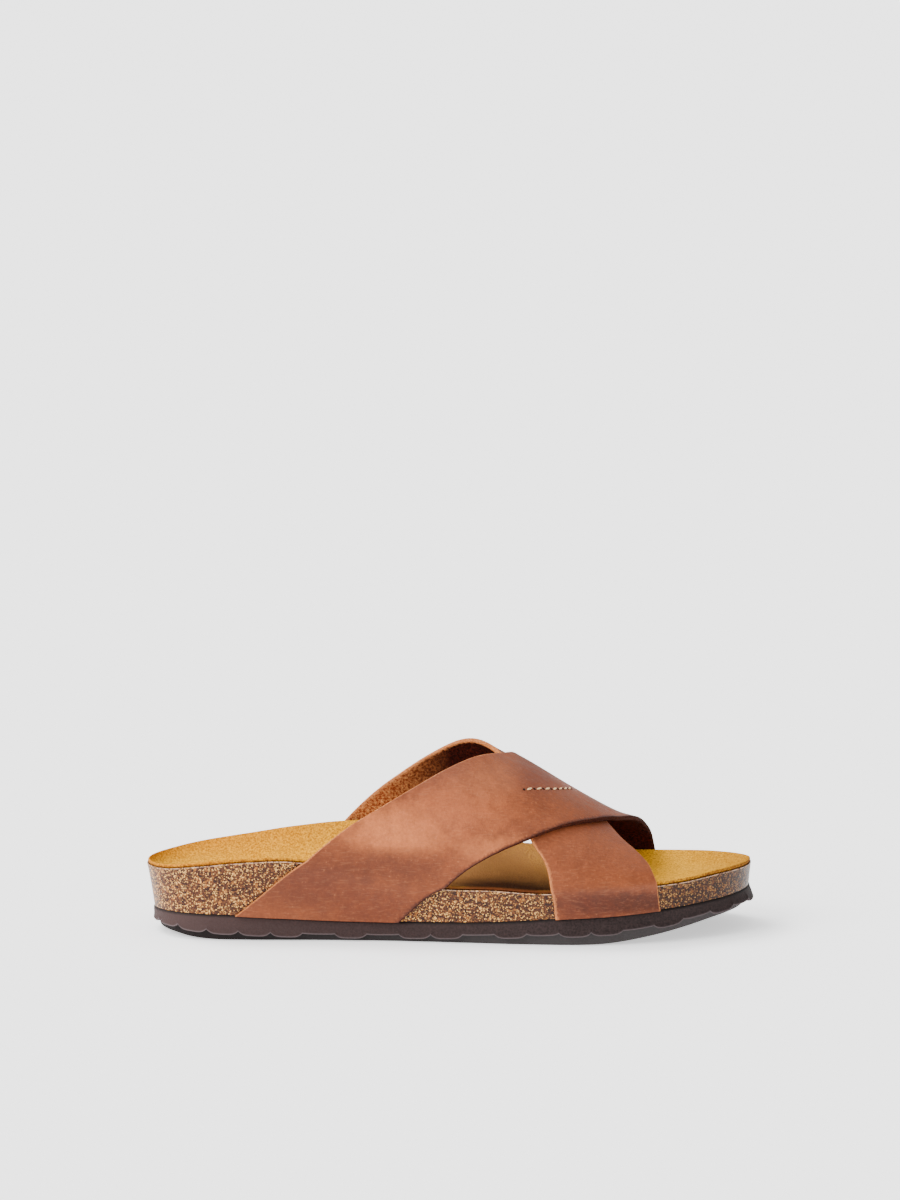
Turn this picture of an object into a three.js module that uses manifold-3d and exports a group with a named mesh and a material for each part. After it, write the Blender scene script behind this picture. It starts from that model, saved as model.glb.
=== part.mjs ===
// Leather slide with two crossed straps on a contoured cork footbed and a ribbed outsole: a right shoe.
// Millimetres, +Z up, toe along +X, outer side of the foot at -Y; the origin lies on the floor, mid-shoe.
import * as THREE from "three";
import { mergeVertices } from "three/addons/utils/BufferGeometryUtils.js";
import Module from "manifold-3d";

const wasm = await Module();
wasm.setup();

// Plan of the sole
const SOLE_LENGTH = 279;
const BALL_WIDTH = 98;

// Outsole: thickness at the heel side, rise of the toe, drop from the side band to the tread
const SOLE_THICKNESS = 12;
const TOE_SPRING = 12;
const TREAD_DROP = 3.2;
const TREAD_INSET = 2.6;
const BAND_BEVEL = 0.8;
const SOLE_LIP = 0.4;
const TOE_LIP = 2.2;

// Notches in the side band, and wavy grooves across the tread in line with them
const LUG_COUNT = 22;
const NOTCH_WIDTH = 5;
const NOTCH_HEIGHT = 2.1;
const GROOVE_WIDTH = 4.4;
const GROOVE_DEPTH = 2.2;
const GROOVE_WAVE = 2.4;
const WAVES_ACROSS = 2;
const TREAD_RIM = 4;

// Footbed of cork with a suede insole on it
const CORK_HEIGHT = 27;
const HEEL_FLARE = 3.4;
const HALF_FLARE_SHARE = 0.45;
const INSOLE_THICKNESS = 1.4;
const INSOLE_INSET = 0.4;
const CUP_POWER = 3.2;

// Straps: inner form over the instep, leather wall, and how far one strap sinks into the other
const INSTEP_HEIGHT = 85;
const STRAP_WALL = 2.5;
const STRAP_GAP = 0.35;
const STRAP_SINK = 0.5;
const RIM_SHARE = 0.7;
const LIFT_FULL = 0.5;

const FIT_GAP = 0.3;

// Half widths from the heel's centre line, as shares of BALL_WIDTH
const PLAN = follow([
  { at: 0, lateral: 0, medial: 0 },
  { at: 0.03, lateral: 0.23, medial: 0.23 },
  { at: 0.08, lateral: 0.322, medial: 0.318 },
  { at: 0.16, lateral: 0.348, medial: 0.332 },
  { at: 0.26, lateral: 0.352, medial: 0.305 },
  { at: 0.36, lateral: 0.364, medial: 0.272 },
  { at: 0.44, lateral: 0.388, medial: 0.268 },
  { at: 0.52, lateral: 0.422, medial: 0.308 },
  { at: 0.6, lateral: 0.456, medial: 0.388 },
  { at: 0.68, lateral: 0.478, medial: 0.468 },
  { at: 0.74, lateral: 0.476, medial: 0.505 },
  { at: 0.8, lateral: 0.446, medial: 0.512 },
  { at: 0.86, lateral: 0.385, medial: 0.494 },
  { at: 0.91, lateral: 0.302, medial: 0.45 },
  { at: 0.96, lateral: 0.175, medial: 0.352 },
  { at: 1, lateral: -0.12, medial: 0.12 },
]);

// Underside: spring is a share of TOE_SPRING, drop of TREAD_DROP, joint of SOLE_THICKNESS
const UNDERSIDE = follow([
  { at: 0, spring: 0.22, drop: 0.9, joint: 0.69 },
  { at: 0.03, spring: 0.16, drop: 1, joint: 0.83 },
  { at: 0.06, spring: 0.07, drop: 1.05, joint: 0.94 },
  { at: 0.12, spring: 0, drop: 0.95, joint: 1 },
  { at: 0.2, spring: 0, drop: 0.68, joint: 0.93 },
  { at: 0.33, spring: 0, drop: 0.5, joint: 0.82 },
  { at: 0.5, spring: 0, drop: 0.72, joint: 0.82 },
  { at: 0.6, spring: 0, drop: 1.05, joint: 0.925 },
  { at: 0.7, spring: 0, drop: 1.35, joint: 1.1 },
  { at: 0.76, spring: 0.05, drop: 1.3, joint: 1.12 },
  { at: 0.83, spring: 0.26, drop: 1.1, joint: 1.02 },
  { at: 0.89, spring: 0.5, drop: 0.97, joint: 0.88 },
  { at: 0.94, spring: 0.72, drop: 0.85, joint: 0.76 },
  { at: 1, spring: 0.92, drop: 0.6, joint: 0.7 },
]);

// Footbed above the joint, as shares of CORK_HEIGHT; flare is a share of HEEL_FLARE
const FOOTBED = follow([
  { at: 0, lateral: 0.82, medial: 0.82, seat: 0.82, flare: 1 },
  { at: 0.03, lateral: 0.83, medial: 0.8, seat: 0.56, flare: 0.9 },
  { at: 0.08, lateral: 0.91, medial: 0.87, seat: 0.47, flare: 0.8 },
  { at: 0.15, lateral: 1, medial: 1, seat: 0.45, flare: 0.6 },
  { at: 0.23, lateral: 1.06, medial: 1.18, seat: 0.5, flare: 0.5 },
  { at: 0.32, lateral: 0.96, medial: 1.33, seat: 0.56, flare: 0.45 },
  { at: 0.4, lateral: 0.74, medial: 1.35, seat: 0.58, flare: 0.45 },
  { at: 0.49, lateral: 0.655, medial: 1.14, seat: 0.55, flare: 0.4 },
  { at: 0.57, lateral: 0.62, medial: 0.915, seat: 0.46, flare: 0.3 },
  { at: 0.65, lateral: 0.525, medial: 0.738, seat: 0.34, flare: 0.25 },
  { at: 0.73, lateral: 0.5, medial: 0.6, seat: 0.28, flare: 0.2 },
  { at: 0.8, lateral: 0.505, medial: 0.495, seat: 0.29, flare: 0.2 },
  { at: 0.88, lateral: 0.495, medial: 0.45, seat: 0.25, flare: 0.2 },
  { at: 0.94, lateral: 0.51, medial: 0.435, seat: 0.28, flare: 0.25 },
  { at: 1, lateral: 0.45, medial: 0.45, seat: 0.45, flare: 0.3 },
]);

// Form under the straps: crest height as a share of INSTEP_HEIGHT, its shift to the inner side of BALL_WIDTH
const INSTEP = follow([
  { at: 0.1, crest: 1.15, shift: 0.1 },
  { at: 0.32, crest: 1.15, shift: 0.1 },
  { at: 0.46, crest: 1.09, shift: 0.1 },
  { at: 0.53, crest: 1.035, shift: 0.095 },
  { at: 0.58, crest: 0.943, shift: 0.09 },
  { at: 0.63, crest: 0.85, shift: 0.08 },
  { at: 0.7, crest: 0.71, shift: 0.07 },
  { at: 0.775, crest: 0.57, shift: 0.06 },
  { at: 0.81, crest: 0.535, shift: 0.06 },
  { at: 0.87, crest: 0.49, shift: 0.06 },
]);

// Edges of the strap on top, from its lateral foot at the rear (-1) over the crest (0) to its medial foot in
// front (1), as shares of SOLE_LENGTH
const OVER_EDGES = [
  { along: -1, rear: 0.14, front: 0.413 },
  { along: -0.7, rear: 0.26, front: 0.4945 },
  { along: -0.56, rear: 0.332, front: 0.583 },
  { along: -0.49, rear: 0.375, front: 0.6255 },
  { along: -0.35, rear: 0.465, front: 0.69 },
  { along: -0.25, rear: 0.52, front: 0.727 },
  { along: -0.11, rear: 0.569, front: 0.762 },
  { along: 0, rear: 0.591, front: 0.785 },
  { along: 0.11, rear: 0.601, front: 0.8 },
  { along: 0.25, rear: 0.612, front: 0.814 },
  { along: 0.49, rear: 0.638, front: 0.836 },
  { along: 0.7, rear: 0.665, front: 0.846 },
  { along: 1, rear: 0.673, front: 0.848 },
];

// Edges of the strap beneath it, from its medial foot at the rear (-1) to its lateral foot in front (1)
const UNDER_EDGES = [
  { along: -1, rear: 0.2, front: 0.44 },
  { along: -0.7, rear: 0.317, front: 0.52 },
  { along: -0.56, rear: 0.378, front: 0.6 },
  { along: -0.49, rear: 0.409, front: 0.632 },
  { along: -0.35, rear: 0.463, front: 0.675 },
  { along: -0.25, rear: 0.498, front: 0.698 },
  { along: -0.11, rear: 0.541, front: 0.722 },
  { along: 0, rear: 0.568, front: 0.736 },
  { along: 0.11, rear: 0.588, front: 0.752 },
  { along: 0.25, rear: 0.6015, front: 0.778 },
  { along: 0.35, rear: 0.6105, front: 0.8 },
  { along: 0.49, rear: 0.632, front: 0.822 },
  { along: 0.56, rear: 0.651, front: 0.827 },
  { along: 0.7, rear: 0.663, front: 0.834 },
  { along: 1, rear: 0.6705, front: 0.841 },
];

const SECTION_STEPS = 44;
const TOP_STEPS = 10;
const BOTTOM_STEPS = 4;
const STRAP_STEPS = 40;
const STRAP_WIDTH_STEPS = 9;
const GROOVE_STEPS = 8;
const FINE_STEPS = 400;
const LIP_START_SHARE = 0.85;
const FLOOR_CUT = -5;
const TINY = 1e-3;
const WELD = 0.02;

// Angle that stands for a place along the length, so that the round heel and toe come out smooth
function turn(at) {
  return Math.acos(1 - 2 * at);
}

// Smooth reading of a table at any place along the length
function follow(rows) {
  const names = Object.keys(rows[0]).filter((name) => name !== "at");
  const places = rows.map((row) => turn(row.at));
  const values = rows.flatMap((row) => names.map((name) => row[name]));
  const curve = new THREE.CubicInterpolant(places, values, names.length, new Array(names.length));
  return (at) => {
    const found = curve.evaluate(turn(at));
    return Object.fromEntries(names.map((name, k) => [name, found[k]]));
  };
}

function mix(a, b, share) {
  return a + (b - a) * share;
}

function smooth(share) {
  const s = Math.min(1, Math.max(0, share));
  return s * s * (3 - 2 * s);
}

// Point on the plan outline, side -1 lateral or 1 medial, moved outwards by offset
function edge(at, side, offset) {
  const reach = (place) => side * BALL_WIDTH * (side < 0 ? PLAN(place).lateral : PLAN(place).medial);
  const angle = turn(at);
  const before = Math.max(0, angle - TINY);
  const after = Math.min(Math.PI, angle + TINY);
  const placeOf = (a) => (1 - Math.cos(a)) / 2;
  const alongX = (SOLE_LENGTH / 2) * Math.sin(angle);
  const alongY = (reach(placeOf(after)) - reach(placeOf(before))) / (after - before);
  const size = Math.hypot(alongX, alongY);
  const outX = (-side * alongY) / size;
  const outY = (side * alongX) / size;
  return [at * SOLE_LENGTH + outX * offset, reach(at) + outY * offset];
}

function treadHeight(at) {
  return TOE_SPRING * Math.max(0, UNDERSIDE(at).spring);
}

function bandHeight(at) {
  return treadHeight(at) + TREAD_DROP * UNDERSIDE(at).drop;
}

function jointHeight(at) {
  return treadHeight(at) + SOLE_THICKNESS * UNDERSIDE(at).joint;
}

function rimHeight(at, side) {
  return jointHeight(at) + CORK_HEIGHT * (side < 0 ? FOOTBED(at).lateral : FOOTBED(at).medial);
}

function seatHeight(at) {
  return jointHeight(at) + CORK_HEIGHT * FOOTBED(at).seat;
}

function flare(at) {
  return HEEL_FLARE * FOOTBED(at).flare;
}

// How far the footbed's side leans out, from 0 at the joint to the whole flare at the rim
function lean(at, up) {
  return flare(at) * (up < 0.5 ? 2 * HALF_FLARE_SHARE * up : mix(HALF_FLARE_SHARE, 1, 2 * up - 1));
}

// Height of the insole's upper face; across runs from -1 at the lateral rim to 1 at the medial rim
function insoleHeight(at, across) {
  const seat = seatHeight(at);
  const wall = Math.abs(across) ** CUP_POWER;
  return mix(seat, rimHeight(at, across < 0 ? -1 : 1), wall);
}

// Closed solid through rings with equally many points; ends that don't shrink to a line are capped as strips.
// Each patch is split along its shorter diagonal, so that two pieces with the same curve are split alike
function loft(rings, capped = true) {
  const count = rings[0].length;
  const vertices = rings.flat(2);
  const points = rings.flat().map((point) => new THREE.Vector3(...point));
  const faces = [];
  for (let r = 0; r + 1 < rings.length; r += 1) {
    for (let k = 0; k < count; k += 1) {
      const a = r * count + k;
      const b = r * count + ((k + 1) % count);
      if (points[a].distanceTo(points[b + count]) < points[b].distanceTo(points[a + count])) {
        faces.push(a, b + count, b, a, a + count, b + count);
      } else {
        faces.push(a, a + count, b, b, a + count, b + count);
      }
    }
  }
  const last = (rings.length - 1) * count;
  for (let k = 0; capped && k + 1 < count / 2; k += 1) {
    const facing = count - 1 - k;
    faces.push(k, k + 1, facing, k + 1, facing - 1, facing);
    faces.push(last + k, last + facing, last + k + 1, last + k + 1, last + facing, last + facing - 1);
  }
  return solidOf(vertices, faces);
}

// Merges vertices that lie within reach, drops empty faces, and makes the solid that can be joined and cut
function solidOf(vertices, faces, reach = TINY) {
  const loose = new THREE.BufferGeometry();
  loose.setAttribute("position", new THREE.Float32BufferAttribute(vertices, 3));
  loose.setIndex(Array.from(faces));
  const merged = mergeVertices(loose, reach);
  const index = merged.index.array;
  const kept = [];
  for (let f = 0; f < index.length; f += 3) {
    const corner = [index[f], index[f + 1], index[f + 2]];
    if (new Set(corner).size === 3) {
      kept.push(...corner);
    }
  }
  return new wasm.Manifold(
    new wasm.Mesh({
      numProp: 3,
      vertProperties: merged.attributes.position.array,
      triVerts: Uint32Array.from(kept),
    }),
  );
}

function meshOf(name, solid, colour, roughness) {
  const { vertProperties, triVerts } = solid.getMesh();
  const cut = solidOf(vertProperties, triVerts, WELD).getMesh();
  const geometry = new THREE.BufferGeometry();
  geometry.setAttribute("position", new THREE.BufferAttribute(cut.vertProperties, 3));
  geometry.setIndex(new THREE.BufferAttribute(cut.triVerts, 1));
  const material = new THREE.MeshStandardMaterial({ color: colour, roughness, metalness: 0 });
  const mesh = new THREE.Mesh(geometry, material);
  mesh.name = name;
  return mesh;
}

function places(count) {
  return Array.from({ length: count + 1 }, (_, k) => (1 - Math.cos((Math.PI * k) / count)) / 2);
}

// Ring of a layer at one place: up the lateral side, over the top, down the medial side, back underneath
function layerRing(at, side, top, bottom, bottomSteps = BOTTOM_STEPS) {
  const steps = side(at);
  const up = steps.map(({ offset, height }) => [...edge(at, -1, offset), height(at, -1)]);
  const down = steps.map(({ offset, height }) => [...edge(at, 1, offset), height(at, 1)]).reverse();
  const between = (from, to, share) => [mix(from[0], to[0], share), mix(from[1], to[1], share)];
  const ring = [...up];
  for (let k = 1; k < TOP_STEPS; k += 1) {
    ring.push([...between(up.at(-1), down[0], k / TOP_STEPS), top(at, (2 * k) / TOP_STEPS - 1)]);
  }
  ring.push(...down);
  for (let k = 1; k < bottomSteps; k += 1) {
    ring.push([...between(down.at(-1), up[0], k / bottomSteps), bottom(at, 1 - (2 * k) / bottomSteps)]);
  }
  return ring;
}

// Prism that cuts one notch through the side band, narrow at its root
function notch(at, side) {
  const root = bandHeight(at) + NOTCH_HEIGHT;
  const [inX, inY] = edge(at, side, FIT_GAP - TREAD_INSET);
  const [outX, outY] = edge(at, side, TOE_LIP + FIT_GAP);
  const outwards = new THREE.Vector2(outX - inX, outY - inY).normalize();
  const profile = [
    [-NOTCH_WIDTH / 2, FLOOR_CUT],
    [-NOTCH_WIDTH / 2, bandHeight(at) - FIT_GAP],
    [-NOTCH_WIDTH / 8, root],
    [NOTCH_WIDTH / 8, root],
    [NOTCH_WIDTH / 2, bandHeight(at) - FIT_GAP],
    [NOTCH_WIDTH / 2, FLOOR_CUT],
  ];
  const ends = [
    [inX, inY],
    [outX, outY],
  ];
  return loft(
    ends.map(([x, y]) => profile.map(([w, z]) => [x - outwards.y * w, y + outwards.x * w, z])),
  );
}

// Wavy groove across the tread, between the places of two notches and clear of the tread's rim
function groove(from, to) {
  const start = new THREE.Vector2(...edge(from, -1, -TREAD_INSET - TREAD_RIM));
  const end = new THREE.Vector2(...edge(to, 1, -TREAD_INSET - TREAD_RIM));
  const rings = [];
  for (let k = 0; k <= GROOVE_STEPS; k += 1) {
    const share = k / GROOVE_STEPS;
    const wave = GROOVE_WAVE * Math.sin(2 * Math.PI * WAVES_ACROSS * share);
    const centre = start.clone().lerp(end, share);
    const root = treadHeight(mix(from, to, share)) + GROOVE_DEPTH;
    const profile = [
      [GROOVE_WIDTH / 2, FLOOR_CUT],
      [GROOVE_WIDTH / 2, root - GROOVE_DEPTH - FIT_GAP],
      [GROOVE_WIDTH / 4, root],
      [-GROOVE_WIDTH / 4, root],
      [-GROOVE_WIDTH / 2, root - GROOVE_DEPTH - FIT_GAP],
      [-GROOVE_WIDTH / 2, FLOOR_CUT],
    ];
    rings.push(profile.map(([x, z]) => [centre.x + wave + x, centre.y, z]));
  }
  return loft(rings);
}

// Places that split one side of the plan into equal lengths
function notchPlaces(side) {
  const fine = places(FINE_STEPS);
  const points = fine.map((at) => new THREE.Vector2(...edge(at, side, 0)));
  const lengths = [0];
  points.slice(1).forEach((point, k) => lengths.push(lengths[k] + point.distanceTo(points[k])));
  const pitch = lengths.at(-1) / LUG_COUNT;
  return Array.from({ length: LUG_COUNT - 1 }, (_, k) => {
    const target = (k + 1) * pitch;
    const after = lengths.findIndex((length) => length >= target);
    const share = (target - lengths[after - 1]) / (lengths[after] - lengths[after - 1]);
    return mix(fine[after - 1], fine[after], share);
  });
}

// Outsole: upright side band with a lip, and below it the tread, set in and cut by the grooves
function outsole() {
  const lip = (at) => mix(SOLE_LIP, TOE_LIP, smooth((at - LIP_START_SHARE) / (1 - LIP_START_SHARE)));
  const side = (at) => [
    { offset: -TREAD_INSET, height: treadHeight },
    { offset: -TREAD_INSET, height: bandHeight },
    { offset: lip(at) - BAND_BEVEL, height: bandHeight },
    { offset: lip(at), height: (place) => bandHeight(place) + BAND_BEVEL },
    { offset: SOLE_LIP, height: jointHeight },
  ];
  const rings = places(SECTION_STEPS).map((at) => layerRing(at, side, jointHeight, treadHeight));
  const lateral = notchPlaces(-1);
  const medial = notchPlaces(1);
  const cuts = [
    ...lateral.map((at) => notch(at, -1)),
    ...medial.map((at) => notch(at, 1)),
    ...lateral.slice(1, -1).map((from, k) => groove(from, medial[k + 1])),
  ];
  const body = cuts.reduce((solid, cut) => solid.subtract(cut), loft(rings, false));
  return meshOf("outsole", body, 0x463a3e, 0.75);
}

// Footbed: side wall that leans out to the rim, and a top shaped as heel cup, arch and toe bed
function footbed() {
  const below = INSOLE_THICKNESS + FIT_GAP;
  const side = (at) => [
    { offset: 0, height: (place) => jointHeight(place) + FIT_GAP },
    { offset: lean(at, 0.5), height: (place, way) => mix(jointHeight(place), rimHeight(place, way), 0.5) },
    { offset: flare(at), height: (place, way) => rimHeight(place, way) - below },
  ];
  const top = (at, across) => insoleHeight(at, across) - below;
  const bottom = (at) => jointHeight(at) + FIT_GAP;
  const rings = places(SECTION_STEPS).map((at) => layerRing(at, side, top, bottom));
  return meshOf("footbed", loft(rings, false), 0x8a6642, 0.6);
}

// Insole of suede on the whole top of the footbed
function insole() {
  const side = (at) => [
    { offset: flare(at) - INSOLE_INSET, height: (place, way) => rimHeight(place, way) - INSOLE_THICKNESS },
    { offset: flare(at) - INSOLE_INSET, height: rimHeight },
  ];
  const bottom = (at, across) => insoleHeight(at, across) - INSOLE_THICKNESS;
  const rings = places(SECTION_STEPS).map((at) => layerRing(at, side, insoleHeight, bottom, TOP_STEPS));
  return meshOf("insole", loft(rings, false), 0xd0a05c, 0.95);
}

// Point on the form under the straps; along runs from -1 at the lateral foot to 1 at the medial foot
function formPoint(at, along) {
  const side = along < 0 ? -1 : 1;
  const reach = Math.abs(along);
  const foot = jointHeight(at) + FIT_GAP;
  const rim = rimHeight(at, side);
  if (reach > RIM_SHARE) {
    const up = (1 - reach) / (1 - RIM_SHARE);
    return new THREE.Vector3(...edge(at, side, lean(at, up) + STRAP_GAP), mix(foot, rim, up));
  }
  const angle = (Math.PI / 2) * (1 - reach / RIM_SHARE);
  const [rimX, rimY] = edge(at, side, flare(at) + STRAP_GAP);
  const crestY = BALL_WIDTH * INSTEP(at).shift;
  const crestZ = INSTEP_HEIGHT * INSTEP(at).crest;
  const closeness = Math.cos(angle);
  return new THREE.Vector3(
    mix(at * SOLE_LENGTH, rimX, closeness),
    mix(crestY, rimY, closeness),
    mix(rim, crestZ, Math.sin(angle)),
  );
}

function formNormal(at, along) {
  const alongX = formPoint(at + TINY, along).sub(formPoint(at - TINY, along));
  const alongY = formPoint(at, Math.min(1, along + TINY)).sub(formPoint(at, Math.max(-1, along - TINY)));
  return alongX.cross(alongY).normalize();
}

// Smooth reading of a strap's edges; which is rear or front
function strapEdges(rows) {
  const spots = rows.map((row) => row.along);
  const curve = new THREE.CubicInterpolant(spots, rows.flatMap((row) => [row.rear, row.front]), 2, [0, 0]);
  return (along, share) => {
    const [rear, front] = curve.evaluate(along);
    return mix(rear, front, share);
  };
}

// One strap; way 1 starts at the lateral rear foot, way -1 at the medial rear foot; lift raises its middle
function strap(edges, way, lift) {
  const placeOn = strapEdges(edges);
  const rings = [];
  for (let k = 0; k <= STRAP_STEPS; k += 1) {
    const along = (2 * k) / STRAP_STEPS - 1;
    const raised = lift * smooth((RIM_SHARE - Math.abs(along)) / (RIM_SHARE - LIFT_FULL));
    const inner = [];
    const outer = [];
    for (let w = 0; w <= STRAP_WIDTH_STEPS; w += 1) {
      const at = placeOn(along, w / STRAP_WIDTH_STEPS);
      const point = formPoint(at, way * along);
      const normal = formNormal(at, way * along);
      inner.push(point.clone().addScaledVector(normal, raised).toArray());
      outer.unshift(point.clone().addScaledVector(normal, raised + STRAP_WALL).toArray());
    }
    rings.push([...inner, ...outer]);
  }
  return loft(way > 0 ? rings : rings.reverse());
}

function upper() {
  const under = strap(UNDER_EDGES, -1, 0);
  const over = strap(OVER_EDGES, 1, STRAP_WALL - STRAP_SINK);
  return meshOf("upper", under.add(over), 0xb0744c, 0.55);
}

const sandal = new THREE.Group();
sandal.name = "sandal";
sandal.add(outsole(), footbed(), insole(), upper());

const box = new THREE.Box3().setFromObject(sandal);
const middle = box.getCenter(new THREE.Vector3());
sandal.position.set(-middle.x, -middle.y, -box.min.z);

export default sandal;
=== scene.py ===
# A right sandal of the slip-on kind: two crossed leather straps on a cork footbed with a ribbed outsole.
# Metres, +Z up, toe along +X, the foot's outer side at -Y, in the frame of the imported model.
import math

import bmesh
import bpy
import numpy as np
from mathutils import Matrix, Vector


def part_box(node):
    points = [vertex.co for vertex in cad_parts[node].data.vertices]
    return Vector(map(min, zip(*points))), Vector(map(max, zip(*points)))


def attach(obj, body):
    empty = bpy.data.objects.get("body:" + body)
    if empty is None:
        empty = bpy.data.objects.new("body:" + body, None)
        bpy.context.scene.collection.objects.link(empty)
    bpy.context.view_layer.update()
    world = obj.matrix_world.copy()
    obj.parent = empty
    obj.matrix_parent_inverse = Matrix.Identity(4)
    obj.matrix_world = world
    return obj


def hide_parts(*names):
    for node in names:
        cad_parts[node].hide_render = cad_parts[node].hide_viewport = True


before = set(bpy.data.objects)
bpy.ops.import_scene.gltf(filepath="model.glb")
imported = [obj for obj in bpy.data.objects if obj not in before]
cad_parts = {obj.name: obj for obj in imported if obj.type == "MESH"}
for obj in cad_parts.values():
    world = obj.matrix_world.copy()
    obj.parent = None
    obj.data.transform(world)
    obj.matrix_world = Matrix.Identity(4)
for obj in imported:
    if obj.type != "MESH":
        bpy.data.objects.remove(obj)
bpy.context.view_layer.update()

# Outsole: one moulding of foamed rubber, glued under the cork. Its side is an upright band whose lower edge
# runs in scallops with a thin raised rim, and the tread below is set in and cut by wavy grooves.
SOLE_LENGTH = 0.279
BALL_WIDTH = 0.098
SOLE_THICKNESS = 0.012
TOE_SPRING = 0.012
TREAD_DROP = 0.0032
TREAD_INSET = 0.0026
SOLE_LIP = 0.0004
TOE_LIP = 0.0022
LIP_START_SHARE = 0.85
LUG_COUNT = 22
LUG_STEPS = 24
NOTCH_HEIGHT = 0.0019
SCALLOP_POWER = 4.2
GROOVE_REACH = 0.0022
GROOVE_DEPTH = 0.0022
GROOVE_WAVE = 0.0024
GROOVE_SLOPE_SHARE = 0.45
WAVES_ACROSS = 2
TREAD_RIM = 0.004
TREAD_RIM_SLOPE = 0.001
TREAD_STEPS = 30
GLUED_STEPS = 3
RISE_LIMIT = 0.88
PLAIN_END_LUGS = 1.5
WIDTH_SAMPLES = 400
EDGE_SAMPLES = 1200
FIT_GAP = 0.0003
TINY = 1e-3

# How far each lug's lower edge is raised, heel to toe: 0 bulges down, 1 runs straight between its notches
LUG_RISE = (0, 0, 0, 0, 0, 0, 1, 0, 1, 0, 0, 1, 0, 0.6, 0, 0.2, 1, 0, 0.8, 0, 0.7, 0)


def mix(a, b, share):
    return a + (b - a) * share


def smooth(share):
    s = np.clip(share, 0, 1)
    return s * s * (3 - 2 * s)


def turn(at):
    """Angle that stands for a place along the length, so that the round heel and toe come out smooth."""
    return np.arccos(np.clip(1 - 2 * np.asarray(at, float), -1, 1))


def spread(steps):
    """Places from heel to toe at equal turns."""
    return (1 - np.cos(np.linspace(0, np.pi, steps + 1))) / 2


def spline(spots, values):
    """Smooth curve through the rows of values, with the mean of its neighbours' slopes at each row."""
    spots, values = np.asarray(spots, float), np.asarray(values, float)
    slopes = np.diff(values, axis=0) / np.diff(spots)[:, None]
    tangents = np.vstack([slopes[:1], (slopes[1:] + slopes[:-1]) / 2, slopes[-1:]])

    def read(x):
        x = np.clip(x, spots[0], spots[-1])
        k = np.clip(np.searchsorted(spots, x, side="right") - 1, 0, len(spots) - 2)
        step = (spots[k + 1] - spots[k])[..., None]
        t = (x - spots[k])[..., None] / step
        start = (2 * t**3 - 3 * t**2 + 1) * values[k] + (t**3 - 2 * t**2 + t) * step * tangents[k]
        end = (3 * t**2 - 2 * t**3) * values[k + 1] + (t**3 - t**2) * step * tangents[k + 1]
        return start + end

    return read


def table(*names):
    """Makes a reader of rows (at, value, value ...) along the sole; it gives a dictionary by column name."""

    def of(rows):
        curve = spline(turn([row[0] for row in rows]), [row[1:] for row in rows])
        return lambda at: dict(zip(names, np.moveaxis(curve(turn(at)), -1, 0)))

    return of


# Half widths from the heel's centre line, as shares of BALL_WIDTH: at, lateral, medial
PLAN = table("lateral", "medial")([
    (0, 0, 0),
    (0.03, 0.23, 0.23),
    (0.08, 0.322, 0.318),
    (0.16, 0.348, 0.332),
    (0.26, 0.352, 0.305),
    (0.36, 0.364, 0.272),
    (0.44, 0.388, 0.268),
    (0.52, 0.422, 0.308),
    (0.6, 0.456, 0.388),
    (0.68, 0.478, 0.468),
    (0.74, 0.476, 0.505),
    (0.8, 0.446, 0.512),
    (0.86, 0.385, 0.494),
    (0.91, 0.302, 0.45),
    (0.96, 0.175, 0.352),
    (1, -0.12, 0.12),
])

# Underside as shares of TOE_SPRING, TREAD_DROP and SOLE_THICKNESS: at, spring, drop, joint
UNDERSIDE = table("spring", "drop", "joint")([
    (0, 0.22, 0.9, 0.69),
    (0.03, 0.16, 1, 0.83),
    (0.06, 0.07, 1.05, 0.94),
    (0.12, 0, 0.95, 1),
    (0.2, 0, 0.68, 0.93),
    (0.33, 0, 0.5, 0.82),
    (0.5, 0, 0.72, 0.82),
    (0.6, 0, 1.05, 0.925),
    (0.7, 0, 1.35, 1.1),
    (0.76, 0.05, 1.3, 1.12),
    (0.83, 0.26, 1.1, 1.02),
    (0.89, 0.5, 0.97, 0.88),
    (0.94, 0.72, 0.85, 0.76),
    (1, 0.92, 0.6, 0.7),
])


def outline(at, side, offset):
    """Point on the plan outline, moved outwards by offset; side is -1 lateral or 1 medial."""

    def reach(angle):
        plan = PLAN((1 - np.cos(angle)) / 2)
        return side * BALL_WIDTH * np.where(np.asarray(side) < 0, plan["lateral"], plan["medial"])

    angle = turn(at)
    before, after = np.maximum(0, angle - TINY), np.minimum(np.pi, angle + TINY)
    along_x = SOLE_LENGTH / 2 * np.sin(angle)
    along_y = (reach(after) - reach(before)) / (after - before)
    size = np.hypot(along_x, along_y)
    return at * SOLE_LENGTH - side * along_y / size * offset, reach(angle) + side * along_x / size * offset


def tread_height(at):
    return TOE_SPRING * np.maximum(0, UNDERSIDE(at)["spring"])


def band_height(at):
    return tread_height(at) + TREAD_DROP * UNDERSIDE(at)["drop"]


def joint_height(at):
    return tread_height(at) + SOLE_THICKNESS * UNDERSIDE(at)["joint"]


def sole_lip(at):
    return mix(SOLE_LIP, TOE_LIP, smooth((at - LIP_START_SHARE) / (1 - LIP_START_SHARE)))


def lay_in_frame(points):
    """Moves points from the plan's own origin, the heel's end on its centre line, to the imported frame."""
    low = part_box("outsole")[0]
    places = spread(WIDTH_SAMPLES)
    widest = outline(places, -1, sole_lip(places))[1].min()
    return points + np.array([low.x + SOLE_LIP, low.y - widest, 0])


def lug_places(side, lugs):
    """Places on one side of the sole at the given counts of lugs along its edge, and the lugs' pitch."""
    fine = spread(EDGE_SAMPLES)
    x, y = outline(fine, side, 0)
    lengths = np.concatenate([[0], np.cumsum(np.hypot(np.diff(x), np.diff(y)))])
    return np.interp(lugs * lengths[-1] / LUG_COUNT, lengths, fine), lengths[-1] / LUG_COUNT


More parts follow.
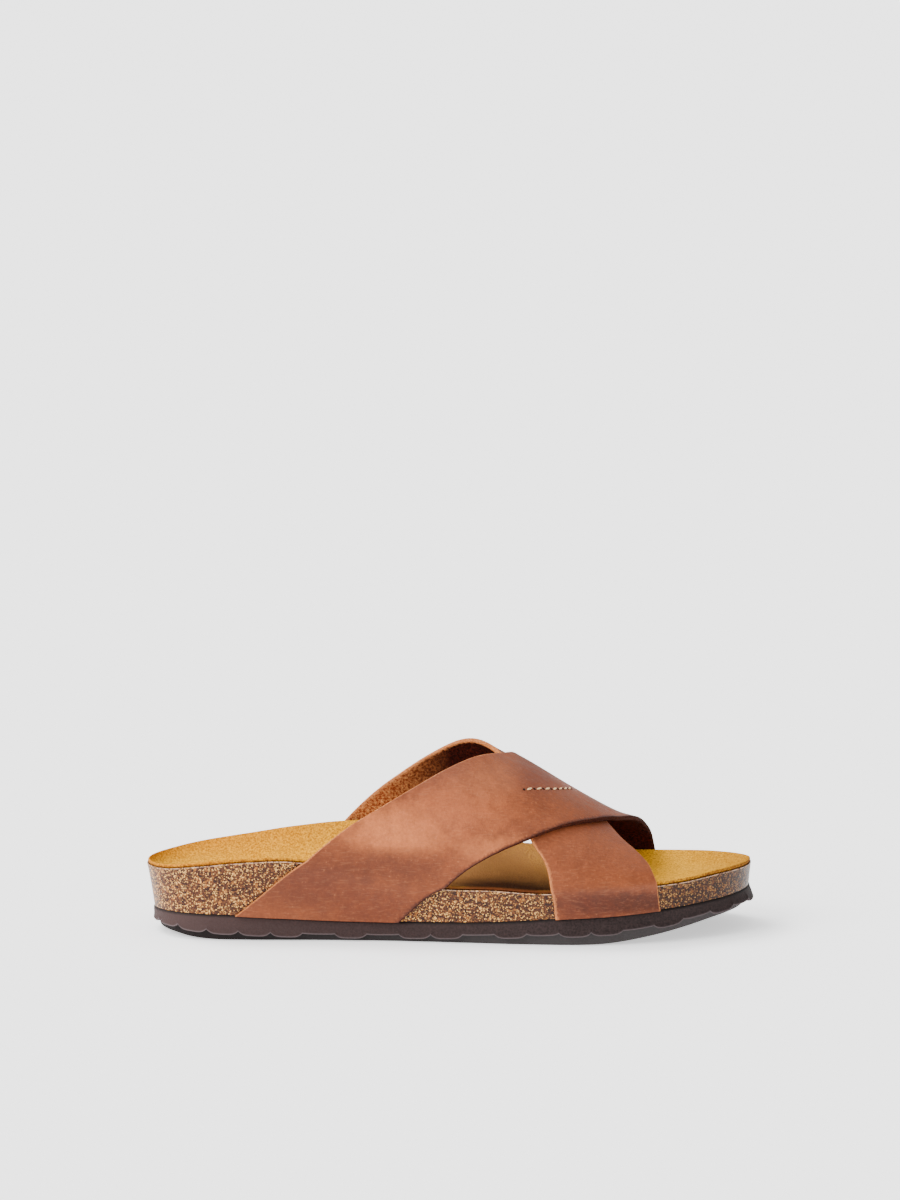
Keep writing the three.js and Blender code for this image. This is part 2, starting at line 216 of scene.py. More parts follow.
def rings(lateral, medial, side_rows, over, under):
    """Section rings of a layer of the sole, with the marks of each point: up the lateral side, over the top,
    down the medial side and back underneath. side_rows(at, side) gives rows of offset, height and marks; over
    and under are the number of steps across, the height at a share of the way, and the marks there."""
    sides = []
    for places, side in ((lateral, -1), (medial, 1)):
        column = []
        for offset, height, *marks in side_rows(places, side):
            x, y = outline(places, side, offset)
            column.append((np.stack([x, y, height + 0 * x], axis=-1), marks))
        sides.append(column)
    up, down = sides[0], sides[1][::-1]
    around = list(up)
    for start, end, (steps, height, *marks) in ((up[-1], down[0], over), (down[-1], up[0], under)):
        for k in range(1, steps):
            point = mix(start[0], end[0], k / steps)
            point[:, 2] = height(k / steps)
            around.append((point, marks))
        around += down if start is up[-1] else []
    around.append(around[0])
    points = np.stack([point for point, _ in around], axis=1)
    columns = zip(*(marks for _, marks in around))
    return points, [np.stack([value + 0 * lateral for value in column], axis=1) for column in columns]


def fold_sheet(points, **marks):
    """Mesh of a square grid whose vertices are laid on points; marks are values that the material reads."""
    columns, rows = points.shape[0] - 1, points.shape[1] - 1
    bm = bmesh.new()
    bm.loops.layers.uv.new("sheet")
    bmesh.ops.create_grid(bm, x_segments=columns, y_segments=rows, size=0.5, calc_uvs=True)
    layers = {name: bm.verts.layers.float.new(name) for name in marks}
    for vert in bm.verts:
        i, j = round((vert.co.x + 0.5) * columns), round((vert.co.y + 0.5) * rows)
        vert.co = points[i, j]
        for name, layer in layers.items():
            vert[layer] = float(marks[name][i, j])
    return bm


def add_object(name, data):
    made = bpy.data.objects.new(name, data)
    bpy.context.scene.collection.objects.link(made)
    return made


def add_mesh(bm, name, materials):
    """Object of the finished bmesh, with its materials in order."""
    mesh = bpy.data.meshes.new(name)
    bm.to_mesh(mesh)
    bm.free()
    for material in materials:
        mesh.materials.append(material)
    return add_object(name, mesh)


def finish_mesh(bm, name, materials, node, sharp=math.radians(40)):
    """Closes the seam and tips, turns the faces outwards, makes the object and tells the frame of it."""
    bmesh.ops.remove_doubles(bm, verts=bm.verts, dist=2e-6)
    bmesh.ops.dissolve_degenerate(bm, edges=bm.edges, dist=1e-6)
    bmesh.ops.recalc_face_normals(bm, faces=bm.faces)
    for face in bm.faces:
        face.smooth = True
    for edge in bm.edges:
        edge.smooth = edge.is_manifold and edge.calc_face_angle() < sharp
    piece = add_mesh(bm, name, materials)
    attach(piece, "root")
    if node:
        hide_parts(node)


def paint(red, green, blue):
    """Colour from its values on screen, 0 to 255, as the shader takes it."""
    values = (red, green, blue)
    return tuple(((v / 255 + 0.055) / 1.055) ** 2.4 if v > 10 else v / 3295 for v in values) + (1,)


def node(tree, kind, inputs=None, **settings):
    made = tree.nodes.new(kind)
    for name, value in settings.items():
        setattr(made, name, value)
    for name, value in (inputs or {}).items():
        if isinstance(value, bpy.types.NodeSocket):
            tree.links.new(value, made.inputs[name])
        else:
            made.inputs[name].default_value = value
    return made


def new_material(name, **shader):
    """Material with an empty Principled shader; shader gives the values that are the same all over."""
    material = bpy.data.materials.new(name)
    material.use_nodes = True
    tree = material.node_tree
    bsdf = tree.nodes["Principled BSDF"]
    for key, value in shader.items():
        bsdf.inputs[key.replace("_", " ").title().replace("Ior", "IOR")].default_value = value
    return material, tree, bsdf


def new_group(name, inputs, outputs):
    """Shader node group, its given values and its results; inputs and outputs map names to socket kinds."""
    group = bpy.data.node_groups.new(name, "ShaderNodeTree")
    for direction, sockets in (("INPUT", inputs), ("OUTPUT", outputs)):
        for label, kind in sockets.items():
            group.interface.new_socket(label, in_out=direction, socket_type="NodeSocket" + kind)
    return group, group.nodes.new("NodeGroupInput").outputs, group.nodes.new("NodeGroupOutput").inputs


def place_group(tree, group, **inputs):
    """One use of a group with its own values; it gives the group's results by name."""
    named = {name.replace("_", " ").title(): value for name, value in inputs.items()}
    return node(tree, "ShaderNodeGroup", named, node_tree=group).outputs


def object_place(tree):
    return node(tree, "ShaderNodeTexCoord").outputs["Object"]


def along_shoe(tree, place):
    """The part of a place that runs from heel to toe."""
    return node(tree, "ShaderNodeSeparateXYZ", {"Vector": place}).outputs["X"]


def mark(tree, name):
    return node(tree, "ShaderNodeAttribute", attribute_name=name).outputs["Fac"]


def noise(tree, place, size, detail=3, roughness=0.55):
    """Cloudy value from 0 to 1 with lumps of the given size in metres."""
    made = node(tree, "ShaderNodeTexNoise", {
        "Vector": place, "Scale": 1 / size, "Detail": detail, "Roughness": roughness,
    })
    return made.outputs["Fac"]


def remap(tree, value, low, high, to_low=0.0, to_high=1.0):
    made = node(tree, "ShaderNodeMapRange", {
        "Value": value, "From Min": low, "From Max": high, "To Min": to_low, "To Max": to_high,
    })
    return made.outputs["Result"]


def maths(tree, kind, a, b=0.0):
    return node(tree, "ShaderNodeMath", {0: a, 1: b}, operation=kind).outputs[0]


def blend(tree, share, a, b, kind="MIX"):
    return node(tree, "ShaderNodeMix", {0: share, 6: a, 7: b}, data_type="RGBA", blend_type=kind).outputs[2]


def lay(tree, colour, tone, share, strength=None):
    """Covers a colour with a tone, by the share alone or times a strength."""
    share = share if strength is None else maths(tree, "MULTIPLY", share, strength)
    return blend(tree, share, colour, paint(*tone))


def bump(tree, height, depth, strength):
    inputs = {"Height": height, "Distance": depth, "Strength": strength}
    return node(tree, "ShaderNodeBump", inputs).outputs[0]


def outsole_side(at, side):
    """Rows up the outsole's side: offset, height, and its marks for the rim's painted highlight, the tread's
    painted shade and the painted shade along the joint.
    """
    lugs = np.linspace(0, LUG_COUNT, len(at))
    rise = np.array(LUG_RISE)[np.minimum(lugs.astype(int), LUG_COUNT - 1)]
    scallop = np.abs(2 * (lugs % 1) - 1) ** SCALLOP_POWER
    inner = (lugs > 0.5) & (lugs < LUG_COUNT - 0.5)
    notch = np.where(inner, mix(scallop, 1, RISE_LIMIT * rise), 0) * NOTCH_HEIGHT
    lip = sole_lip(at)
    tread, band, joint = tread_height(at), band_height(at) - 0.0002 + notch, joint_height(at)
    low = np.minimum(tread + 0.0006, band)
    return [
        (-TREAD_INSET - 0.0008, tread, 0, 1, 0),
        (-TREAD_INSET - 0.0002, mix(tread, low, 0.35), 0, 1, 0),
        (-TREAD_INSET, low, 0, 1, 0),
        (-TREAD_INSET, mix(low, band, 0.8), 0, 1, 0),
        (-TREAD_INSET + 0.0003, band, 0, 1, 0),
        (lip - 0.0008, band, 0, 0.8, 0),
        (lip - 0.0001, band + 0.0001, 0.7, 0, 0),
        (lip + 0.0001, band + 0.0003, 1, 0, 0),
        (lip + 0.0001, band + 0.0006, 0.5, 0, 0),
        (lip - 0.0001, band + 0.0009, 0, 0, 0),
        (mix(lip, SOLE_LIP, 0.4) - 0.0001, mix(band, joint, 0.45), 0, 0, 0),
        (SOLE_LIP, joint - 0.0012, 0, 0, 0),
        (SOLE_LIP - 0.00005, joint - 0.0005, 0, 0, 0.7),
        (SOLE_LIP - 0.0005, joint, 0, 0, 1),
    ]


lugs = np.linspace(0, LUG_COUNT, LUG_COUNT * LUG_STEPS + 1)
(lug_lateral, lug_pitch), (lug_medial, _) = lug_places(-1, lugs), lug_places(1, lugs)


def tread_face(back):
    """Height of the tread, with a wavy groove across it in line with each pair of notches."""
    share = 1 - back
    left = np.stack(outline(lug_lateral, -1, -TREAD_INSET), axis=-1)
    right = np.stack(outline(lug_medial, 1, -TREAD_INSET), axis=-1)
    width = np.linalg.norm(right - left, axis=-1)
    waved = lugs + GROOVE_WAVE / lug_pitch * math.sin(2 * math.pi * WAVES_ACROSS * share)
    distance = np.abs(waved - np.rint(waved)) * lug_pitch
    inner = (waved > PLAIN_END_LUGS) & (waved < LUG_COUNT - PLAIN_END_LUGS)
    groove = smooth((GROOVE_REACH - distance) / (GROOVE_SLOPE_SHARE * GROOVE_REACH))
    clear = smooth((min(share, back) * width - TREAD_RIM) / TREAD_RIM_SLOPE)
    tread = mix(tread_height(lug_lateral), tread_height(lug_medial), share)
    return tread + GROOVE_DEPTH * groove * clear * inner


def glued_face(share):
    return mix(joint_height(lug_lateral), joint_height(lug_medial), share)


outsole_points, (rim, tread, glue) = rings(
    lug_lateral, lug_medial, outsole_side,
    (GLUED_STEPS, glued_face, 0, 0, 1), (TREAD_STEPS, tread_face, 0, 1, 0),
)

speckle, given, result = new_group(
    "speckle", {"Place": "Vector", "Size": "Float", "Low": "Float", "High": "Float"}, {"Share": "Float"},
)
lumps = node(speckle, "ShaderNodeTexNoise", {
    "Vector": given["Place"], "Scale": maths(speckle, "DIVIDE", 1.0, given["Size"]),
    "Detail": 3.0, "Roughness": 0.6,
})
share = node(speckle, "ShaderNodeMapRange", {
    "Value": lumps.outputs["Fac"], "From Min": given["Low"], "From Max": given["High"],
}).outputs["Result"]
speckle.links.new(share, result["Share"])

rubber, tree, shader = new_material("foamed_rubber", specular_ior_level=0.15)
place = object_place(tree)
fine = place_group(tree, speckle, place=place, size=0.0009, low=0.35, high=0.65)["Share"]
# Painted light: the band is painted paler towards the heel, the side the lamps shine from, and darker towards
# the toe.
heelward = maths(tree, "POWER", remap(tree, along_shoe(tree, place), 0.1, -0.13), 1.6)
colour = blend(tree, heelward, paint(27, 18, 17), paint(62, 45, 43))
colour = lay(tree, colour, (72, 58, 57), fine, 0.4)
# Painted highlight: the raised rim along the scallops is painted paler, as where its rounded edge catches the
# light.
colour = lay(tree, colour, (112, 100, 102), mark(tree, "rim"), 0.5)
# Painted shade: the set-in tread is painted near black towards the heel for the shade in its recess, and grey
# towards the toe for the soft shadow under the raised toe.
painted_tread_shade = blend(tree, heelward, paint(66, 62, 62), paint(4, 3, 3))
colour = blend(tree, maths(tree, "MULTIPLY", mark(tree, "tread"), 0.85), colour, painted_tread_shade)
# Painted shade: a dark line along the joint at the top of the band, standing for the shadow under the straps'
# feet that overhang it.
colour = lay(tree, colour, (12, 9, 9), mark(tree, "glue"), 0.8)
tree.links.new(colour, shader.inputs["Base Color"])
tree.links.new(remap(tree, fine, 0, 1, 0.62, 0.82), shader.inputs["Roughness"])
tree.links.new(bump(tree, fine, 0.0002, 0.5), shader.inputs["Normal"])

bm = fold_sheet(lay_in_frame(outsole_points), rim=rim, tread=tread, glue=glue)
finish_mesh(bm, "rubber_outsole", [rubber], "outsole")

# Footbed: one block of cork granules and latex, moulded with heel cup, arch and toe bed, trimmed round its
# side and brushed with a clear glossy varnish that gathers as a pale broken line along its upper edge.
CORK_HEIGHT = 0.027
HEEL_FLARE = 0.0034
HALF_FLARE_SHARE = 0.45
INSOLE_THICKNESS = 0.0014
CUP_POWER = 3.2
SECTION_STEPS = 200
WALL_STEPS = 8
CORK_TOP_STEPS = 14
CORK_FOOT_STEPS = 4

# Above the joint, as shares of CORK_HEIGHT, and of HEEL_FLARE: at, lateral, medial, seat, flare
FOOTBED = table("lateral", "medial", "seat", "flare")([
    (0, 0.82, 0.82, 0.82, 1),
    (0.03, 0.83, 0.8, 0.56, 0.9),
    (0.08, 0.91, 0.87, 0.47, 0.8),
    (0.15, 1, 1, 0.45, 0.6),
    (0.23, 1.06, 1.18, 0.5, 0.5),
    (0.32, 0.96, 1.33, 0.56, 0.45),
    (0.4, 0.74, 1.35, 0.58, 0.45),
    (0.49, 0.655, 1.14, 0.55, 0.4),
    (0.57, 0.62, 0.915, 0.46, 0.3),
    (0.65, 0.525, 0.738, 0.34, 0.25),
    (0.73, 0.5, 0.6, 0.28, 0.2),
    (0.8, 0.505, 0.495, 0.29, 0.2),
    (0.88, 0.495, 0.45, 0.25, 0.2),
    (0.94, 0.51, 0.435, 0.28, 0.25),
    (1, 0.45, 0.45, 0.45, 0.3),
])


def rim_height(at, side):
    rim = FOOTBED(at)
    return joint_height(at) + CORK_HEIGHT * np.where(np.asarray(side) < 0, rim["lateral"], rim["medial"])


def flare(at):
    return HEEL_FLARE * FOOTBED(at)["flare"]


def lean(at, up):
    """How far the cork's side leans out, from 0 at the joint to the whole flare at the rim."""
    return flare(at) * np.where(up < 0.5, 2 * HALF_FLARE_SHARE * up, mix(HALF_FLARE_SHARE, 1, 2 * up - 1))


def insole_height(at, across):
    """Height of the insole's upper face; across runs from -1 at the lateral rim to 1 at the medial rim."""
    seat = joint_height(at) + CORK_HEIGHT * FOOTBED(at)["seat"]
    return mix(seat, rim_height(at, np.sign(across)), np.abs(across) ** CUP_POWER)


sections = spread(SECTION_STEPS)
below_suede = INSOLE_THICKNESS + FIT_GAP


def footbed_side(at, side):
    """Rows up the cork's side: offset, height, and its mark for gathered varnish."""
    foot, rim = joint_height(at) + FIT_GAP, rim_height(at, side) - below_suede
    wall = [(lean(at, k / WALL_STEPS), mix(foot, rim, k / WALL_STEPS), 0) for k in range(WALL_STEPS)]
    return [(-0.0006, foot, 0)] + wall + [
        (flare(at), rim - 0.0007, 0),
        (flare(at), rim - 0.0005, 1),
        (flare(at), rim - 0.00025, 1),
        (flare(at) - 0.0001, rim - 0.0001, 0),
        (flare(at) - 0.0006, rim, 0),
    ]


footbed_points, (varnish,) = rings(
    sections, sections, footbed_side,
    (CORK_TOP_STEPS, lambda share: insole_height(sections, 2 * share - 1) - below_suede, 0),
    (CORK_FOOT_STEPS, lambda share: joint_height(sections) + FIT_GAP, 0),
)

# Tones of the granules on screen, dark to pale: random value, tone
CORK_TONES = (
    (0.0, (38, 19, 13)),
    (0.2, (62, 32, 20)),
    (0.45, (84, 46, 26)),
    (0.7, (103, 59, 31)),
    (0.88, (134, 80, 38)),
    (1.0, (212, 146, 72)),
)

# Sizes of the granules, of the larger chips and the small flecks among them, and how far they are warped
GRANULE = 0.0007
CHIP = 0.0013
FLECK = 0.0005
WARP = 0.0005
WARP_SCALE = 1100.0


def vectors(tree, kind, a, b=(0.0, 0.0, 0.0)):
    return node(tree, "ShaderNodeVectorMath", {0: a, 1: b}, operation=kind).outputs


def granules(tree, place, size):
    """Even random tones for packed granules of the given size, and their distance to the next granule."""
    packed = {"Vector": place, "Scale": 1 / size}
    cells = node(tree, "ShaderNodeTexVoronoi", packed)
    edges = node(tree, "ShaderNodeTexVoronoi", packed, feature="DISTANCE_TO_EDGE")
    tones = node(tree, "ShaderNodeSeparateColor", {"Color": cells.outputs["Color"]})
    return tones.outputs, edges.outputs["Distance"]


def multiply_tone(tree, colour, tone, share):
    """Multiplies a colour by a tone, as far as the share says."""
    return blend(tree, share, colour, blend(tree, 1.0, colour, paint(*tone), "MULTIPLY"))


cork, tree, shader = new_material(
    "cork_granules", coat_weight=0.28, coat_roughness=0.16, coat_ior=1.4, specular_ior_level=0.1,
)
place = object_place(tree)
warp = node(tree, "ShaderNodeTexNoise", {"Vector": place, "Scale": WARP_SCALE, "Detail": 2.0})
wavy = vectors(tree, "ADD", place, vectors(tree, "MULTIPLY", warp.outputs["Color"], (WARP,) * 3)[0])[0]
tones, gap = granules(tree, wavy, GRANULE)
chips, _ = granules(tree, wavy, CHIP)
flecks, _ = granules(tree, wavy, FLECK)
ramp = node(tree, "ShaderNodeValToRGB", {"Fac": tones["Red"]})
for k, (position, tone) in enumerate(CORK_TONES):
    stop = ramp.color_ramp.elements[k] if k < 2 else ramp.color_ramp.elements.new(position)
    stop.position = position
    stop.color = paint(*tone)
colour = ramp.outputs["Color"]
colour = lay(tree, colour, (204, 126, 52), remap(tree, chips["Red"], 0.9, 0.94, 0, 0.5))
colour = lay(tree, colour, (40, 18, 15), remap(tree, chips["Green"], 0.88, 0.92, 0, 0.6))
colour = lay(tree, colour, (244, 186, 106), remap(tree, flecks["Red"], 0.85, 0.88, 0, 0.9))
colour = lay(tree, colour, (34, 14, 12), remap(tree, flecks["Green"], 0.8, 0.86, 0, 0.75))
colour = lay(tree, colour, (40, 20, 14), remap(tree, gap, 0.0, 0.1, 0.35, 0.0))
# Painted shade: the cork is darkened towards the toe, where less light falls.
colour = multiply_tone(tree, colour, (152, 142, 132), remap(tree, along_shoe(tree, place), -0.01, 0.13))
broken = place_group(tree, speckle, place=place, size=0.0018, low=0.38, high=0.55)["Share"]
colour = lay(tree, colour, (206, 168, 140), mark(tree, "varnish"), remap(tree, broken, 0, 1, 0.0, 0.8))
tree.links.new(colour, shader.inputs["Base Color"])
tree.links.new(remap(tree, tones["Green"], 0, 1, 0.45, 0.75), shader.inputs["Roughness"])
tree.links.new(bump(tree, maths(tree, "MINIMUM", gap, 0.12), 0.002, 0.35), shader.inputs["Normal"])

bm = fold_sheet(lay_in_frame(footbed_points), varnish=varnish)
finish_mesh(bm, "cork_block", [cork], "footbed")

# Insole: one sheet of ochre suede, glued over the whole top of the cork and trimmed with it, so that its
# darker cut edge shows as a thin line above the varnish.
INSOLE_INSET = 0.0004
SUEDE_STEPS = 52
CUT_AT_HEEL = 0.35
CUT_AT_TOE = 0.9
CUT_CHANGE_START = 0.8
CUT_CHANGE_RUN = 0.08

# Places on the suede under the straps that lie in shade: centre, reach, strength, tone, fray
SUEDE_PATCHES = [
    ((0.022, 0.0, 0.03), (0.062, 0.07, 0.05), 0.9, (192, 134, 80), 0.05),
    ((0.027, -0.033, 0.024), (0.046, 0.056, 0.06), 0.97, (40, 15, 6), 0.03),
]


def insole_side(at, side):
    """Rows up the sheet's cut edge: offset, height, and its marks for the cut and for a rim close by."""
    rim = rim_height(at, side)
    edge = flare(at) - INSOLE_INSET
    bare = mix(CUT_AT_HEEL, CUT_AT_TOE, smooth((at - CUT_CHANGE_START) / CUT_CHANGE_RUN))
    return [
        (edge - 0.0003, rim - INSOLE_THICKNESS, 1, 1),
        (edge, rim - INSOLE_THICKNESS + 0.0003, 1, 1),
        (edge, rim - 0.0007, mix(bare, 1, 0.4), 1),
        (edge - 0.00005, rim - 0.0003, bare, 1),
        (edge - 0.0002, rim - 0.0001, 0.4 * bare, 1),
        (edge - 0.0006, rim, 0, 1),
    ]


insole_points, (cut, rim_near) = rings(
    sections, sections, insole_side,
    (SUEDE_STEPS, lambda share: insole_height(sections, 2 * share - 1), 0, 0),
    (CORK_TOP_STEPS, lambda share: insole_height(sections, 1 - 2 * share) - INSOLE_THICKNESS, 0, 0),
)

# Over the top of the sheet the mark for a near rim fades towards the middle
side_count = len(insole_side(sections, 1))
for k in range(1, SUEDE_STEPS):
    rim_near[:, side_count + k - 1] = abs(2 * k / SUEDE_STEPS - 1) ** CUP_POWER

soft_patch, given, result = new_group(
    "soft_patch", {"Place": "Vector", "Centre": "Vector", "Reach": "Vector", "Fray": "Float"},
    {"Share": "Float"},
)
away = vectors(soft_patch, "SUBTRACT", given["Place"], given["Centre"])[0]
away = vectors(soft_patch, "DIVIDE", away, given["Reach"])[0]
away = vectors(soft_patch, "LENGTH", away)["Value"]
lumps = remap(soft_patch, noise(soft_patch, given["Place"], 0.006), 0.3, 0.7, -1, 1)
frayed = maths(soft_patch, "ADD", away, maths(soft_patch, "MULTIPLY", lumps, given["Fray"]))
inside = node(
    soft_patch, "ShaderNodeMapRange", {"Value": frayed, "From Min": 1.25, "From Max": 0.3},
    interpolation_type="SMOOTHSTEP",
)
soft_patch.links.new(inside.outputs["Result"], result["Share"])


def lay_patch(tree, place, colour, centre, reach, strength, tone, fray=0.15):
    """Covers a colour with a tone in a soft round patch whose rim is frayed."""
    patch = place_group(tree, soft_patch, place=place, centre=centre, reach=reach, fray=fray)["Share"]
    return lay(tree, colour, tone, patch, strength)


suede, tree, shader = new_material("ochre_suede", specular_ior_level=0.05, roughness=0.95)
place = object_place(tree)
nap = place_group(tree, speckle, place=place, size=0.0009, low=0.36, high=0.64)["Share"]
cloud = place_group(tree, speckle, place=place, size=0.016, low=0.3, high=0.7)["Share"]
along = along_shoe(tree, place)
colour = blend(tree, cloud, paint(238, 170, 22), paint(246, 182, 44))
colour = lay(tree, colour, (226, 142, 14), mark(tree, "rim_near"), remap(tree, along, -0.11, -0.04, 0.7, 0.1))
colour = multiply_tone(tree, colour, (176, 158, 130), remap(tree, nap, 0, 1, 0.9, 0))
# Painted shade: the suede is darkened towards the toe, where less light falls.
colour = multiply_tone(tree, colour, (192, 188, 236), remap(tree, along, 0.1, 0.14))
for patch in SUEDE_PATCHES:
    colour = lay_patch(tree, place, colour, *patch)
colour = lay(tree, colour, (104, 54, 28), mark(tree, "cut"), remap(tree, nap, 0, 1, 0.95, 0.4))
tree.links.new(colour, shader.inputs["Base Color"])
tree.links.new(bump(tree, nap, 0.0004, 0.5), shader.inputs["Normal"])

bm = fold_sheet(lay_in_frame(insole_points), cut=cut, rim_near=rim_near)
finish_mesh(bm, "suede_insole", [suede], "insole")

# Straps: two bands of thick waxed leather, cut with raw edges, bent over the instep form and glued down
# the cork's sides; the one from the outer rear foot lies on top where they cross.
INSTEP_HEIGHT = 0.085
STRAP_WALL = 0.0022
STRAP_GAP = 0.00035
OVER_LIFT = 0.0023
RIM_SHARE = 0.7
LIFT_FULL = 0.5
STRAP_STEPS = 280
WIDTH_STEPS = 54
HALF_RUN = 0.095
EDGE_ROUND = 0.0009
EDGE_STEPS = 5
EDGE_IN_SHARE = 0.6
EDGE_DOWN_SHARE = 0.8
STRAP_SHARP = math.radians(60)

# Form under the straps: at, crest height as a share of INSTEP_HEIGHT, shift to the inner side of BALL_WIDTH
INSTEP = table("crest", "shift")([
    (0.1, 1.15, 0.1),
    (0.32, 1.15, 0.1),
    (0.46, 1.09, 0.1),
    (0.53, 1.035, 0.095),
    (0.58, 0.943, 0.09),
    (0.63, 0.85, 0.08),
    (0.7, 0.71, 0.07),
    (0.775, 0.57, 0.06),
    (0.81, 0.535, 0.06),
    (0.87, 0.49, 0.06),
])

# Edges as shares of SOLE_LENGTH: along the strap from its rear foot (-1) over the crest to its front foot
# (1), rear edge, front edge
OVER_EDGES = [
    (-1, 0.14, 0.413),
    (-0.7, 0.26, 0.4945),
    (-0.56, 0.332, 0.583),
    (-0.49, 0.375, 0.6255),
    (-0.35, 0.465, 0.69),
    (-0.25, 0.52, 0.727),
    (-0.11, 0.569, 0.762),
    (0, 0.591, 0.785),
    (0.11, 0.601, 0.8),
    (0.25, 0.612, 0.814),
    (0.49, 0.638, 0.836),
    (0.7, 0.665, 0.846),
    (1, 0.673, 0.848),
]
UNDER_EDGES = [
    (-1, 0.2, 0.44),
    (-0.7, 0.317, 0.52),
    (-0.56, 0.378, 0.6),
    (-0.49, 0.409, 0.632),
    (-0.35, 0.463, 0.675),
    (-0.25, 0.498, 0.698),
    (-0.11, 0.541, 0.722),
    (0, 0.568, 0.736),
    (0.11, 0.588, 0.752),
    (0.25, 0.6015, 0.778),
    (0.35, 0.6105, 0.8),
    (0.49, 0.632, 0.822),
    (0.56, 0.651, 0.827),
    (0.7, 0.663, 0.834),
    (1, 0.6705, 0.841),
]

# Soft troughs and ridges, laid between two places on a strap: along and across (0 rear edge, 1 front
# edge) of both ends, half width, height (below 0 for a trough)
OVER_CREASES = [
    (-0.73, 0, -0.71, 1, 0.005, 0.0006),
    (-0.88, 0, -0.88, 1, 0.006, -0.0002),
    (-1, 0, -1, 1, 0.004, 0.0003),
    (-0.54, 0.1, -0.42, 0.8, 0.009, -0.0006),
    (-0.33, 0.2, -0.18, 0.95, 0.01, 0.0005),
    (-0.08, 0.05, 0.06, 0.55, 0.008, -0.0005),
    (0.2, 0.1, 0.3, 0.9, 0.009, 0.0004),
    (0.44, 0.1, 0.5, 0.9, 0.008, -0.0005),
    (0.73, 0, 0.73, 1, 0.005, 0.0006),
    (1, 0, 1, 1, 0.004, 0.0003),
]
UNDER_CREASES = [
    (-0.73, 0, -0.73, 1, 0.005, 0.0006),
    (-1, 0, -1, 1, 0.004, 0.0003),
    (-0.55, 0.1, -0.4, 0.6, 0.009, -0.0005),
    (-0.2, 0.1, -0.05, 0.4, 0.008, 0.0004),
    (0.45, 0.2, 0.5, 0.9, 0.008, -0.0004),
    (0.7, 0, 0.7, 1, 0.005, 0.0006),
    (0.86, 0, 0.86, 1, 0.006, -0.0002),
    (1, 0, 1, 1, 0.004, 0.0003),
]


def form_point(at, along):
    """Point on the form under the straps; along runs from -1 at the lateral foot to 1 at the medial foot."""
    side = np.where(along < 0, -1.0, 1.0)
    reach = np.abs(along)
    rim = rim_height(at, side)
    up = np.clip((1 - reach) / (1 - RIM_SHARE), 0, 1)
    wall_x, wall_y = outline(at, side, lean(at, up) + STRAP_GAP)
    wall_z = mix(joint_height(at) + FIT_GAP, rim, up)
    angle = np.pi / 2 * (1 - np.minimum(reach / RIM_SHARE, 1))
    rim_x, rim_y = outline(at, side, flare(at) + STRAP_GAP)
    crest = INSTEP(at)
    closeness = np.cos(angle)
    arch_x = mix(at * SOLE_LENGTH, rim_x, closeness)
    arch_y = mix(BALL_WIDTH * crest["shift"], rim_y, closeness)
    arch_z = mix(rim, INSTEP_HEIGHT * crest["crest"], np.sin(angle))
    on_wall = (reach > RIM_SHARE)[..., None]
    return np.where(on_wall, np.stack([wall_x, wall_y, wall_z], -1), np.stack([arch_x, arch_y, arch_z], -1))


def form_normal(at, along):
    along_x = form_point(at + TINY, along) - form_point(at - TINY, along)
    along_y = form_point(at, np.minimum(1, along + TINY)) - form_point(at, np.maximum(-1, along - TINY))
    normal = np.cross(along_x, along_y)
    return normal / np.linalg.norm(normal, axis=-1, keepdims=True)


def strap_shape(edge_rows, crease_rows, way, lift):
    """Gives two readers of a strap: its width at a place along it, and its point at a place along it, a
    distance from its rear edge and a depth under its outer face. Way is 1 for a strap that starts at the
    lateral side, and -1 for one that starts at the medial side."""
    edges = spline([row[0] for row in edge_rows], [row[1:] for row in edge_rows])

    def width_at(along):
        rear, front = np.moveaxis(edges(along), -1, 0)
        return np.linalg.norm(form_point(front, way * along) - form_point(rear, way * along), axis=-1)

    def creased(along, across, width):
        height = 0 * along
        spot = np.stack([along * HALF_RUN, across * width], axis=-1)
        for along_0, across_0, along_1, across_1, reach, rise in crease_rows:
            start = np.stack([along_0 * HALF_RUN + 0 * along, across_0 * width], axis=-1)
            line = np.stack([along_1 * HALF_RUN + 0 * along, across_1 * width], axis=-1) - start
            share = np.clip(((spot - start) * line).sum(-1) / (line * line).sum(-1), 0, 1)
            away = np.linalg.norm(spot - start - line * share[..., None], axis=-1)
            height = height + rise * np.exp(-((away / reach) ** 2))
        return height

    def point_at(along, distance, depth):
        width = width_at(along)
        across = distance / width
        rear, front = np.moveaxis(edges(along), -1, 0)
        at = mix(rear, front, across)
        raised = lift * smooth((RIM_SHARE - np.abs(along)) / (RIM_SHARE - LIFT_FULL))
        out = raised + creased(along, across, width) + STRAP_WALL - depth
        return form_point(at, way * along) + form_normal(at, way * along) * out[..., None]

    return width_at, point_at


def cut_profile():
    """Section of a cut edge from the outer face to the inner: distance from the edge, depth in the wall."""
    swing = np.radians(np.linspace(90, 0, EDGE_STEPS))
    inset = EDGE_ROUND * EDGE_IN_SHARE * (1 - np.cos(swing))
    depth = EDGE_ROUND * EDGE_DOWN_SHARE * (1 - np.sin(swing))
    outer = list(zip(inset, depth))
    return outer + [(i, STRAP_WALL - d) for i, d in reversed(outer)]


